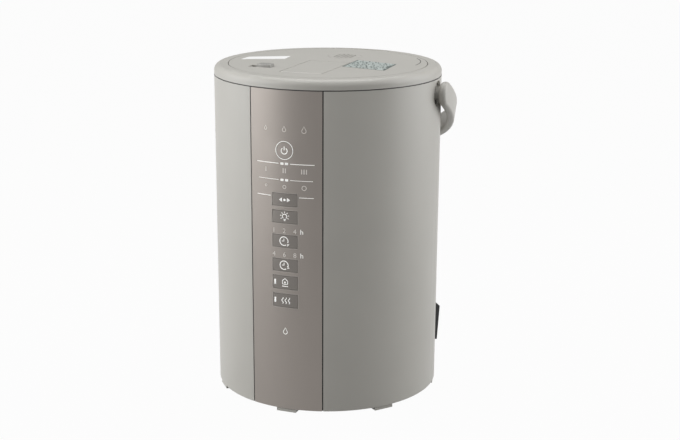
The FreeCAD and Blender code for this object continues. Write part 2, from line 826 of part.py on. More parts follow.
def make_vessel():
    """Steel water vessel, its gasket, stand, heat shield and heater."""
    vessel = spun([
        (0, vessel_bottom_z),
        (vessel_radius, vessel_bottom_z),
        (vessel_radius, flange_low_z),
        (vessel_flange_radius, flange_low_z),
        (vessel_flange_radius, flange_top_z),
        (vessel_radius - vessel_wall, flange_top_z),
        (vessel_radius - vessel_wall, vessel_bottom_z + vessel_wall),
        (0, vessel_bottom_z + vessel_wall),
    ])
    save("inner_vessel", vessel)
    save("vessel_gasket", pipe(gasket_high_radius, gasket_low_radius, flange_top_z, ring_skirt_z))
    shield_top = shield_z + shield_thickness
    save("vessel_stand", pipe(stand_radius, stand_radius - stand_wall, shield_top, vessel_bottom_z))
    shield = post(shield_radius, shield_z, shield_top)
    for x, y in pillar_centres():
        shield = shield.cut(post(screw_radius, 0, far, x, y))
    save("heat_shield", shield)
    heater_low = vessel_bottom_z - heater_thickness
    clamp_low = heater_low - clamp_thickness
    save("heater_plate", pipe(heater_radius, sensor_hole, heater_low, vessel_bottom_z))
    clamp_x = stand_radius - stand_wall - fit_gap
    clamp = box(-clamp_x, clamp_x, -clamp_half_width, clamp_half_width, clamp_low, heater_low)
    clamp = clamp.common(post(clamp_x, 0, far))
    save("heater_clamp", clamp.cut(post(sensor_radius, 0, far)))
    save("temperature_sensor", post(sensor_radius, vessel_bottom_z - sensor_length, vessel_bottom_z))
    save("thermal_fuse", box(fuse_x - fuse_length / 2, fuse_x + fuse_length / 2, -fuse_width / 2,
                             fuse_width / 2, clamp_low - fuse_height, clamp_low))


def make_power_board():
    """Power board on its posts, with the parts soldered to it."""
    low = base_top_z + power_lift
    top = low + power_board_thickness
    save("power_board", box(-power_half_width, power_half_width, power_front_y, power_rear_y, low, top))
    middle = (power_front_y + power_rear_y) / 2
    transformer_x = -power_half_width + transformer_inset
    terminal_x = power_half_width - terminal_inset - terminal_width
    capacitor_x = terminal_x - component_gap - capacitor_radius
    relay_x = capacitor_x - capacitor_radius - component_gap - relay_width
    parts = [
        box(transformer_x, transformer_x + transformer_size, middle - transformer_size / 2,
            middle + transformer_size / 2, top, top + transformer_height),
        box(relay_x, relay_x + relay_width, middle - relay_depth / 2, middle + relay_depth / 2, top,
            top + relay_height),
        box(terminal_x, terminal_x + terminal_width, middle - terminal_depth / 2, middle + terminal_depth / 2,
            top, top + terminal_height),
    ]
    for side in (-1, 1):
        parts.append(post(capacitor_radius, top, top + capacitor_height, capacitor_x,
                          middle + side * capacitor_spacing / 2))
    save("board_components", parts)


def make_fan():
    """Blower under the vessel with its motor, rotor, shaft and the duct up the back."""
    low = base_top_z + fan_lift
    high = low + fan_height
    neck_top = high + duct_neck_rise
    shell = post(fan_housing_radius, low, high, 0, fan_y)
    neck = box(-duct_half_width, duct_half_width, fan_y, duct_rear_y, low, neck_top)
    neck = neck.cut(box(-far, far, -far, duct_front_y, high, far))
    bore = post(fan_housing_radius - fan_wall, low + fan_wall, high - fan_wall, 0, fan_y)
    passage = box(-duct_half_width + fan_wall, duct_half_width - fan_wall, fan_y, duct_rear_y - fan_wall,
                  low + fan_wall, high - fan_wall)
    outlet = box(-duct_half_width + fan_wall, duct_half_width - fan_wall, duct_front_y + fan_wall,
                 duct_rear_y - fan_wall, high - fan_wall - fan_wall, far)
    legs = []
    for azimuth in (-60.0, 60.0, 180.0):
        spot = direction(azimuth) * (fan_housing_radius - fan_leg_radius - fan_wall)
        legs.append(post(fan_leg_radius, base_top_z, low + fan_wall / 2, spot.x, fan_y + spot.y))
    housing = joined([shell, neck] + legs)
    housing = housing.cut(bore).cut(passage).cut(outlet)
    housing = housing.cut(post(fan_inlet_radius, low, low + fan_wall, 0, fan_y))
    housing = housing.cut(post(shaft_radius + fan_wall, high - fan_wall, high, 0, fan_y))
    save("fan_housing", housing)

    motor_top = high + motor_height
    shaft_low = low + fan_wall + rotor_gap
    shaft_high = motor_top - shaft_end_gap
    motor = post(motor_radius, high, motor_top, 0, fan_y)
    save("fan_motor", motor.cut(post(shaft_radius + run_gap, high, shaft_high + shaft_end_gap / 2, 0, fan_y)))
    save("fan_shaft", post(shaft_radius, shaft_low, shaft_high, 0, fan_y))

    rotor_high = high - fan_wall - fan_wall
    plate_low = rotor_high - rotor_plate
    solids = [
        post(rotor_hub_radius, shaft_low, rotor_high, 0, fan_y),
        post(rotor_radius, plate_low, rotor_high, 0, fan_y),
    ]
    for index in range(blade_count):
        blade = box(rotor_inner_radius, rotor_radius - blade_thickness, -blade_thickness / 2,
                    blade_thickness / 2, shaft_low, plate_low)
        blade.rotate(V(0, 0, 0), V(0, 0, 1), index * all_round / blade_count)
        blade.translate(V(0, fan_y, 0))
        solids.append(blade)
    save("fan_rotor", joined(solids).cut(post(shaft_radius, 0, far, 0, fan_y)))

    duct = box(-duct_half_width, duct_half_width, duct_front_y, duct_rear_y, neck_top, duct_top_z)
    save("air_duct", duct.cut(box(-duct_half_width + duct_wall, duct_half_width - duct_wall,
                                  duct_front_y + duct_wall, duct_rear_y - duct_wall, 0, far)))


def make_inlet():
    """Power inlet housing with its socket, contact pins and holding magnets."""
    low = base_top_z + fit_gap
    corners = [
        V(-inlet_half_width, -inlet_back_radius, low),
        V(-inlet_half_width, -inlet_foot_radius, low),
        V(-inlet_half_width, -inlet_foot_radius, inlet_low_z),
        V(-inlet_half_width, -inlet_low_radius, inlet_low_z),
        V(-inlet_half_width, -inlet_face_radius, inlet_top_z - inlet_chamfer),
        V(-inlet_half_width, -inlet_face_radius + inlet_chamfer, inlet_top_z),
        V(-inlet_half_width, -inlet_back_radius, inlet_top_z),
    ]
    housing = Part.Face(Part.makePolygon(corners + corners[:1])).extrude(V(2 * inlet_half_width, 0, 0))
    floor_y = -inlet_face_radius + socket_depth
    housing = housing.cut(box(-socket_half_width, socket_half_width, -far, floor_y,
                              socket_low_z, socket_high_z))
    middle = (socket_low_z + socket_high_z) / 2
    pins = []
    magnets = []
    for side in (-1, 1):
        pins.append(bar_y(inlet_pin_radius, floor_y - inlet_pin_reach, floor_y + inlet_pin_stub,
                          side * inlet_pin_x, middle))
        x = side * (magnet_x + magnet_half_width)
        magnets.append(box(x - magnet_half_width, x + magnet_half_width, floor_y, floor_y + magnet_thickness,
                           middle - magnet_half_height, middle + magnet_half_height))
    for inset in pins + magnets:
        housing = housing.cut(inset)
    save("inlet_housing", at_azimuth(housing, inlet_azimuth))
    save("inlet_pins", [at_azimuth(pin, inlet_azimuth) for pin in pins])
    save("inlet_magnets", [at_azimuth(magnet, inlet_azimuth) for magnet in magnets])


def bail_outline(inset):
    """Plan of the bail to one face: two straight arms and half an ellipse, closed at the pivots."""
    half = handle_outer_x - inset
    depth = handle_reach - handle_straight - inset
    centre = V(0, handle_straight, 0)
    if depth >= half:
        ellipse = Part.Ellipse(centre + V(0, depth, 0), centre + V(half, 0, 0), centre)
        edge = Part.Arc(ellipse, -math.pi / 2, math.pi / 2).toShape()
    else:
        ellipse = Part.Ellipse(centre + V(half, 0, 0), centre + V(0, depth, 0), centre)
        edge = Part.Arc(ellipse, 0, math.pi).toShape()
    first = edge.valueAt(edge.FirstParameter)
    last = edge.valueAt(edge.LastParameter)
    lines = [
        Part.LineSegment(last, V(last.x, 0, 0)).toShape(),
        Part.LineSegment(V(last.x, 0, 0), V(first.x, 0, 0)).toShape(),
        Part.LineSegment(V(first.x, 0, 0), first).toShape(),
    ]
    return Part.Face(Part.Wire([edge] + lines))


def make_handle():
    """Bail handle with round knuckles, its pivot pins and the cups they turn in."""
    band = bail_outline(0).cut(bail_outline(handle_band)).extrude(V(0, 0, 2 * knuckle_radius))
    band.translate(V(0, 0, -knuckle_radius))
    band = band.Solids[0]
    soft = min(handle_round, handle_band / 3)
    rims = [edge for edge in band.Edges if abs(edge.tangentAt(edge.FirstParameter).z) < 0.5
            and edge.BoundBox.YMax > fit_gap]
    band = band.makeFillet(soft, rims)
    knuckle_inner_x = handle_outer_x - handle_band
    knuckle = bar_x(knuckle_radius, knuckle_inner_x, handle_outer_x, 0, 0)
    rims = [edge for edge in knuckle.Edges if edge.BoundBox.XLength < fit_gap]
    knuckle = knuckle.makeFillet(soft, rims)
    boss = bar_x(knuckle_boss_radius, pivot_x, knuckle_inner_x + soft, 0, 0)
    bail = joined([band] + mirrored(knuckle) + mirrored(boss))
    pin = bar_x(pivot_pin_radius, cup_outer_x - cup_length + fit_gap, pivot_x + pin_grip, 0, 0)
    for side_pin in mirrored(pin):
        bail = bail.cut(side_pin)
    bail.rotate(V(0, 0, 0), V(1, 0, 0), -handle_tilt)
    bail.translate(V(0, pivot_setback, pivot_z))
    save("handle_bail", bail)
    pin.translate(V(0, pivot_setback, pivot_z))
    save("pivot_pins", mirrored(pin))

    cup_low = cup_outer_x - cup_length
    cup = joined([
        bar_x(pivot_hole_radius - fit_gap, cup_low, cup_outer_x, pivot_setback, pivot_z),
        bar_x(cup_flange_radius, cup_low, cup_low + cup_flange_length, pivot_setback, pivot_z),
    ])
    cup = cup.common(box(-far, far, -far, far, 0, ring_skirt_z - fit_gap))
    cup = cup.cut(bar_x(pivot_pin_radius + run_gap, cup_low, cup_outer_x, pivot_setback, pivot_z))
    save("pivot_cups", mirrored(cup))


os.makedirs("parts", exist_ok=True)
make_base()
make_feet()
make_screws()
make_shells()
make_panel()
make_keys()
make_control_board()
make_ring()
make_lid_cover()
make_inner_lid()
make_steam_outlet()
make_lever_and_bolt()
make_lock()
make_vessel()
make_power_board()
make_fan()
make_inlet()
make_handle()
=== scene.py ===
"""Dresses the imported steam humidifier: finishes, printed panel, handle, lid details and studio."""
import json
import logging
import math
import random
from dataclasses import dataclass, field
from enum import Enum

import bmesh
import bpy
from mathutils import Matrix, Vector


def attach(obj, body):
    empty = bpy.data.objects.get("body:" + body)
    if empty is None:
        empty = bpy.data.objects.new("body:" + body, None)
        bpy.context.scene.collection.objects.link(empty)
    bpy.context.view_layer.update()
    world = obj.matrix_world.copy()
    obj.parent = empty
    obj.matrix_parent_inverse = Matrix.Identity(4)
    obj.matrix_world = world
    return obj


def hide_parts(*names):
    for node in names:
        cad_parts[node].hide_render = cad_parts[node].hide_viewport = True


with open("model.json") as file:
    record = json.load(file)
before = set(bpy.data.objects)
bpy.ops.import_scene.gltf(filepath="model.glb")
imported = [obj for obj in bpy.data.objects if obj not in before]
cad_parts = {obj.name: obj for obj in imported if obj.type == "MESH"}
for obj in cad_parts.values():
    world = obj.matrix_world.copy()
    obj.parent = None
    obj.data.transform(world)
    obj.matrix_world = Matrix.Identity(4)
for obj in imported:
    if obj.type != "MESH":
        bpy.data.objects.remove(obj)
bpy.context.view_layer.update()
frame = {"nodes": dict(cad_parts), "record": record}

LOG = logging.getLogger("humidifier")
MM = 0.001
SHARP_EDGE_DEG = 38.0
Point = tuple[float, float]
Loop = list[Point]
Verts = list[bmesh.types.BMVert]


def linear(hex_colour: str) -> tuple[float, float, float, float]:
    """Turn an sRGB hex colour into linear light.

    Args:
        hex_colour: Six hex digits, such as "b4b2ad".

    Returns:
        Linear red, green, blue and an alpha of one.
    """
    values = [int(hex_colour[i:i + 2], 16) / 255 for i in (0, 2, 4)]
    light = [v / 12.92 if v <= 0.04045 else ((v + 0.055) / 1.055) ** 2.4 for v in values]
    return (light[0], light[1], light[2], 1.0)


def add_node(tree: bpy.types.NodeTree, kind: str, settings: dict | None = None,
             inputs: dict | None = None) -> bpy.types.Node:
    """Add a shader node with its settings, input values and links.

    Args:
        tree: Node tree to add to.
        kind: Blender's type name of the node.
        settings: Attributes to set on the node.
        inputs: Input name or index to a value, or to an output socket to link from.

    Returns:
        The new node.
    """
    node = tree.nodes.new(kind)
    for name, value in (settings or {}).items():
        setattr(node, name, value)
    for name, value in (inputs or {}).items():
        if isinstance(value, bpy.types.NodeSocket):
            tree.links.new(value, node.inputs[name])
        else:
            node.inputs[name].default_value = value
    return node


def new_material(name: str) -> bpy.types.Material:
    """Make an empty node material.

    Args:
        name: Name of the material.

    Returns:
        The material, without any node.
    """
    material = bpy.data.materials.new(name)
    material.use_nodes = True
    material.node_tree.nodes.clear()
    return material


def circle(centre: Point, radius: float, count: int) -> Loop:
    """Give places round a circle, anticlockwise from the right.

    Args:
        centre: Middle of the circle.
        radius: Its radius.
        count: How many places.

    Returns:
        The places in order.
    """
    turns = [math.tau * index / count for index in range(count)]
    return [(centre[0] + radius * math.cos(turn), centre[1] + radius * math.sin(turn)) for turn in turns]


def around(radius: float, turn: float, z: float) -> Vector:
    """Give a place round the body's axis, in metres.

    Args:
        radius: Distance from the axis in millimetres.
        turn: Angle from the front towards the right, in radians.
        z: Height in millimetres.

    Returns:
        The place in the row frame.
    """
    return Vector((radius * math.sin(turn), -radius * math.cos(turn), z)) * MM


def join_loops(mesh: bmesh.types.BMesh, first: Verts, second: Verts) -> None:
    """Bridge two closed loops with quads.

    Args:
        mesh: Mesh that holds both loops.
        first: One loop of vertices.
        second: The other loop, with as many vertices in the same order.
    """
    for index in range(len(first)):
        after = (index + 1) % len(first)
        mesh.faces.new([first[index], first[after], second[after], second[index]])


@dataclass(frozen=True)
class Finish:
    """One real material and how its surface was made."""

    name: str
    colour: str
    roughness: float
    metallic: float = 0.0
    ior: float = 1.5
    coat: float = 0.0
    coat_roughness: float = 0.12
    rough_spread: float = 0.05
    grain_mm: float = 1.2
    grain_depth_mm: float = 0.03
    grain_detail: float = 3.0
    bump_strength: float = 0.35
    mottle_mm: float = 45.0
    mottle: float = 0.04
    mottle_detail: float = 2.0
    stretch: tuple[float, float, float] = (1.0, 1.0, 1.0)
    # Emission in the finish's own colour: a painted glow, since no piece here is a lamp.
    glow: float = 0.0

    def build(self) -> bpy.types.Material:
        """Build the node material.

        Returns:
            A material with slow tone changes, grain in the roughness and a fine bump.
        """
        material = new_material(self.name)
        tree = material.node_tree
        coords = add_node(tree, "ShaderNodeTexCoord")
        placed = add_node(tree, "ShaderNodeMapping", inputs={"Vector": coords.outputs["Object"],
                                                             "Scale": self.stretch})
        vector = placed.outputs["Vector"]
        slow = add_node(tree, "ShaderNodeTexNoise",
                        inputs={"Vector": vector, "Scale": 1 / (self.mottle_mm * MM),
                                "Detail": self.mottle_detail})
        grain = add_node(tree, "ShaderNodeTexNoise",
                         inputs={"Vector": vector, "Scale": 1 / (self.grain_mm * MM),
                                 "Detail": self.grain_detail})
        red, green, blue, _ = linear(self.colour)
        dark = tuple(c * (1 - self.mottle) for c in (red, green, blue)) + (1.0,)
        pale = tuple(min(1.0, c * (1 + self.mottle)) for c in (red, green, blue)) + (1.0,)
        # The mix node names its sockets alike for each kind of data, so the colour ones go by number.
        tone = add_node(tree, "ShaderNodeMix", {"data_type": "RGBA"},
                        {0: slow.outputs["Fac"], 6: dark, 7: pale})
        rough = add_node(tree, "ShaderNodeMapRange",
                         inputs={"Value": grain.outputs["Fac"],
                                 "To Min": self.roughness - self.rough_spread,
                                 "To Max": self.roughness + self.rough_spread})
        bump = add_node(tree, "ShaderNodeBump",
                        inputs={"Height": grain.outputs["Fac"], "Strength": self.bump_strength,
                                "Distance": self.grain_depth_mm * MM})
        shader = add_node(tree, "ShaderNodeBsdfPrincipled",
                          inputs={"Base Color": tone.outputs[2], "Metallic": self.metallic, "IOR": self.ior,
                                  "Roughness": rough.outputs["Result"], "Normal": bump.outputs["Normal"],
                                  "Coat Weight": self.coat, "Coat Roughness": self.coat_roughness,
                                  "Emission Color": linear(self.colour), "Emission Strength": self.glow})
        add_node(tree, "ShaderNodeOutputMaterial", inputs={"Surface": shader.outputs["BSDF"]})
        return material


class Stock(Enum):
    """The finishes that the pieces are made in."""

    # Injection-moulded ABS with a spark-eroded grain: satin, evenly warm grey, soft highlights.
    # The real grain is about 0.3 mm; it is drawn coarser so that it shows in the render.
    BODY = Finish("abs_satin_grey", "b7b4ad", 0.42)
    # Pearl-lacquered polycarbonate: warmer, darker, and it turns quickly from light to dark.
    PANEL = Finish("polycarbonate_pearl_taupe", "938c86", 0.46, metallic=0.7, grain_mm=0.9,
                   grain_depth_mm=0.01, mottle=0.03)
    # Polycarbonate keys under a dark pearl lacquer: they turn with the panel's light, a step darker.
    KEY = Finish("polycarbonate_pearl_dark_grey", "7b7671", 0.44, metallic=0.65, grain_depth_mm=0.02,
                 mottle=0.05)
    # Polished ABS on the slider that fingers rub: darker and a little shinier than the lid.
    KNOB = Finish("abs_polished_mid_grey", "a09e99", 0.34, grain_depth_mm=0.02)
    # Polypropylene base and ducts, straight from the mould: darker and duller than the housing.
    BASE = Finish("polypropylene_dark_grey", "6d6b67", 0.5, grain_depth_mm=0.04)
    # Glass-filled nylon of the power inlet: black with a dry sheen.
    BLACK = Finish("nylon_black", "1d1d1e", 0.45, mottle=0.1, grain_depth_mm=0.04)
    # Moulded silicone gaskets: milky and matt.
    SILICONE = Finish("silicone_milky", "c4c3bd", 0.6, mottle_mm=12.0)
    # Drawn stainless steel: fine rings of drawing marks stretch the highlights round the wall.
    STEEL = Finish("stainless_steel_drawn", "c9c8c5", 0.26, metallic=1.0, grain_mm=3.0,
                   grain_depth_mm=0.01, stretch=(1.0, 1.0, 14.0))
    # Cast aluminium heater: pale and grainy.
    ALUMINIUM = Finish("aluminium_cast", "bcbcbe", 0.45, metallic=1.0, grain_mm=1.6)
    # Turned brass contacts: warm yellow with a tight highlight.
    BRASS = Finish("brass_turned", "c8a556", 0.25, metallic=1.0, grain_mm=0.5)
    # Green solder mask over glass laminate: a thin gloss over a slightly uneven green.
    LAMINATE = Finish("laminate_green", "2f5d3f", 0.35, coat=0.3, mottle_mm=8.0)
    # Moulded acrylic lamp caps: white and smooth.
    LAMP = Finish("acrylic_lamp_white", "e6e4dc", 0.2, grain_depth_mm=0.0)
    # Pad-printed white ink: flat and slightly chalky, with a painted glow that keeps it bright on the shaded
    # side.
    INK = Finish("ink_white_printed", "f6f5f1", 0.55, mottle=0.02, mottle_mm=6.0, glow=0.3)
    # Frosted ink for the lamp marks that are not lit: it sinks into the panel's tone, and a faint painted
    # glow lifts it a little.
    FAINT_INK = Finish("ink_pale_printed", "dcd6d0", 0.55, mottle=0.02, mottle_mm=6.0, glow=0.06)
    # Coated paper of the blank sticker: white and even.
    PAPER = Finish("paper_coated_white", "f1f0ee", 0.5, mottle=0.02)
    # Metallised film of the label's ground: cool dark grey with a faint shimmer.
    FILM = Finish("film_metallised_grey", "6c7571", 0.35, metallic=0.15, grain_mm=2.2, mottle_mm=2.6,
                  mottle=0.2)
    # Pale ink in broken rows on the label: slightly green and flat.
    ROWS = Finish("ink_pale_green_printed", "d2d9d4", 0.5, mottle_mm=3.0)
    # Painted highlight round each key: a pale thin outline that stands for light on the keys' edges.
    KEY_EDGE_HIGHLIGHT = Finish("painted_highlight_key_rims", "a9a29b", 0.5, mottle=0.02, mottle_mm=6.0)
    # Unlit ABS at the bottom of a moulded groove: a dark dull line.
    GROOVE = Finish("abs_groove_shadow", "5b5955", 0.7)
    # Painted shade in the open joints of the housing: nearly black, dull strips set where the gaps are in
    # shadow.
    JOINT_SHADE = Finish("joint_painted_shade", "2b2a29", 0.7, mottle_mm=8.0)


class Paint:
    """Keeps one material of each finish."""

    made: dict[Stock, bpy.types.Material] = {}

    @classmethod
    def of(cls, stock: Stock) -> bpy.types.Material:
        """Give the material of a finish, building it once.

        Args:
            stock: Finish that is wanted.

        Returns:
            Its material.
        """
        if stock not in cls.made:
            cls.made[stock] = stock.value.build()
        return cls.made[stock]


def new_piece(name: str, mesh: bmesh.types.BMesh, stock: Stock, body: str) -> bpy.types.Object:
    """Turn a bmesh into a smooth-shaded piece that rides on a body.

    Args:
        name: Name of the piece.
        mesh: Geometry in metres, in the row frame; it is freed.
        stock: Finish of the piece.
        body: Body that the piece moves with.

    Returns:
        The new object.
    """
    bmesh.ops.recalc_face_normals(mesh, faces=mesh.faces)
    data = bpy.data.meshes.new(name)
    mesh.to_mesh(data)
    mesh.free()
    data.materials.append(Paint.of(stock))
    data.shade_smooth()
    data.set_sharp_from_angle(angle=math.radians(SHARP_EDGE_DEG))
    piece = bpy.data.objects.new(name, data)
    bpy.context.scene.collection.objects.link(piece)
    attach(piece, body)
    LOG.info("%s rides on %s", name, body)
    return piece


@dataclass(frozen=True)
class Bank:
    """One soft area lamp: where it stands round the object, its size and its power."""

    name: str
    turn_deg: float
    away_m: float
    height_m: float
    size_m: Point
    watts: float


@dataclass
class Studio:
    """Camera, floor, backdrop light and lamps."""

    azimuth: float = 21.2
    distance_mm: float = 1321.8
    height_mm: float = 508.7
    yaw: float = 0.00909
    pitch_deg: float = 14.808
    roll_deg: float = 0.268
    focal_px: float = 1403.8
    frame_px: float = 680.0
    sensor_mm: float = 36.0
    near_clip_m: float = 0.01
    aim_height_m: float = 0.16
    lamp_colour: tuple[float, float, float] = (0.97, 0.985, 1.0)
    world_strength: float = 0.18
    floor_half_m: float = 6.0
    floor_white_share: float = 0.97
    floor_colour: str = "757472"
    banks: tuple[Bank, ...] = (
        Bank("left_bank", -80, 1.15, 0.32, (1.4, 1.6), 21.5),
        Bank("right_bank", 92, 1.15, 0.4, (1.0, 1.6), 14.5),
        Bank("front_fill", 12, 1.6, 1.3, (1.2, 1.0), 5.0),
        Bank("top_bank", 180, 0.2, 1.5, (1.2, 1.2), 11.5))

    def toward(self, turn_deg: float) -> Vector:
        """Unit vector in plan, turned from the camera's side of the object."""
        turn = math.radians(self.azimuth + turn_deg)
        return Vector((math.sin(turn), -math.cos(turn), 0))

    def place_camera(self) -> None:
        """Make the camera at the photograph's viewing angle."""
        away = self.toward(0)
        right = Vector((-away.y, away.x, 0))
        ahead = -away * math.cos(self.yaw) + right * math.sin(self.yaw)
        side = right * math.cos(self.yaw) + away * math.sin(self.yaw)
        pitch = math.radians(self.pitch_deg)
        roll = math.radians(self.roll_deg)
        up = ahead * math.sin(pitch) + Vector((0, 0, 1)) * math.cos(pitch)
        ahead = ahead * math.cos(pitch) - Vector((0, 0, 1)) * math.sin(pitch)
        camera_right = side * math.cos(roll) + up * math.sin(roll)
        camera_up = up * math.cos(roll) - side * math.sin(roll)
        data = bpy.data.cameras.new("camera")
        data.sensor_fit = "HORIZONTAL"
        data.sensor_width = self.sensor_mm
        data.lens = self.focal_px / self.frame_px * self.sensor_mm
        data.clip_start = self.near_clip_m
        camera = bpy.data.objects.new("camera", data)
        bpy.context.scene.collection.objects.link(camera)
        turn = Matrix((camera_right, camera_up, -ahead)).transposed().to_4x4()
        place = away * self.distance_mm * MM + Vector((0, 0, self.height_mm * MM))
        camera.matrix_world = Matrix.Translation(place) @ turn
        bpy.context.scene.camera = camera

    def light(self) -> None:
        """Light the object from soft banks at both sides, in front and above, over a pale floor."""
        self.backdrop()
        for bank in self.banks:
            self.lamp(bank)
        self.floor()

    def backdrop(self) -> None:
        """Make a world that is white where the camera sees it and dim as a light."""
        scene = bpy.context.scene
        scene.view_settings.view_transform = "Standard"
        world = bpy.data.worlds.new("studio")
        scene.world = world
        world.use_nodes = True
        tree = world.node_tree
        tree.nodes.clear()
        path = add_node(tree, "ShaderNodeLightPath")
        shade = add_node(tree, "ShaderNodeBackground",
                         inputs={"Color": (1, 1, 1, 1), "Strength": self.world_strength})
        white = add_node(tree, "ShaderNodeBackground", inputs={"Color": (1, 1, 1, 1), "Strength": 1.0})
        mixed = add_node(tree, "ShaderNodeMixShader", inputs={0: path.outputs["Is Camera Ray"],
                                                              1: shade.outputs[0], 2: white.outputs[0]})
        add_node(tree, "ShaderNodeOutputWorld", inputs={"Surface": mixed.outputs[0]})

    def lamp(self, bank: Bank) -> None:
        """Add a soft area lamp that faces the object's middle.

        Args:
            bank: The lamp's place, size and power.
        """
        data = bpy.data.lights.new(bank.name, "AREA")
        data.shape = "RECTANGLE"
        data.size, data.size_y = bank.size_m
        data.energy = bank.watts
        data.color = self.lamp_colour
        lamp = bpy.data.objects.new(bank.name, data)
        bpy.context.scene.collection.objects.link(lamp)
        place = self.toward(bank.turn_deg) * bank.away_m + Vector((0, 0, bank.height_m))
        aim = Vector((0, 0, self.aim_height_m)) - place
        lamp.matrix_world = Matrix.Translation(place) @ aim.to_track_quat("-Z", "Y").to_matrix().to_4x4()

    def floor(self) -> None:
        """Add the pale floor; seen directly it is nearly white and only the shadow darkens it."""
        mesh = bmesh.new()
        bmesh.ops.create_grid(mesh, x_segments=1, y_segments=1, size=self.floor_half_m)
        data = bpy.data.meshes.new("floor")
        mesh.to_mesh(data)
        mesh.free()
        material = new_material("paper_sweep_white")
        tree = material.node_tree
        path = add_node(tree, "ShaderNodeLightPath")
        direct = add_node(tree, "ShaderNodeMath", {"operation": "MAXIMUM"},
                          {0: path.outputs["Is Camera Ray"], 1: path.outputs["Is Glossy Ray"]})
        direct = add_node(tree, "ShaderNodeMath", {"operation": "MAXIMUM"},
                          {0: direct.outputs[0], 1: path.outputs["Is Transmission Ray"]})
        share = add_node(tree, "ShaderNodeMath", {"operation": "MULTIPLY"},
                         {0: direct.outputs[0], 1: self.floor_white_share})
        paper = add_node(tree, "ShaderNodeBsdfDiffuse", inputs={"Color": linear(self.floor_colour)})
        glow = add_node(tree, "ShaderNodeEmission", inputs={"Color": (1, 1, 1, 1), "Strength": 1.0})
        mixed = add_node(tree, "ShaderNodeMixShader", inputs={0: share.outputs[0], 1: paper.outputs[0],
                                                              2: glow.outputs[0]})
        add_node(tree, "ShaderNodeOutputMaterial", inputs={"Surface": mixed.outputs[0]})
        data.materials.append(material)
        floor = bpy.data.objects.new("floor", data)
        bpy.context.scene.collection.objects.link(floor)


@dataclass
class Casing:
    """Everything that keeps its solid and gets its real finish."""

    finish_of_slot: dict[str, Stock] = field(default_factory=lambda: {
        "body_plastic": Stock.BODY, "panel_plastic": Stock.PANEL, "key_plastic": Stock.KEY,
        "knob_plastic": Stock.KNOB, "base_plastic": Stock.BASE, "black_plastic": Stock.BLACK,
        "silicone": Stock.SILICONE, "steel": Stock.STEEL, "heater_alloy": Stock.ALUMINIUM,
        "brass": Stock.BRASS, "board_laminate": Stock.LAMINATE, "lamp_plastic": Stock.LAMP})
    finish_of_node: dict[str, Stock] = field(default_factory=lambda: {"key_power": Stock.PANEL})

    def dress(self) -> None:
        """Give every node the finish of its material slot, or its own."""
        for part in frame["record"]["subparts"]:
            node = part["node"]
            stock = self.finish_of_node.get(node, self.finish_of_slot[part["material_slot"]])
            data = frame["nodes"][node].data
            data.materials.clear()
            data.materials.append(Paint.of(stock))
            LOG.info("%s finished", node)


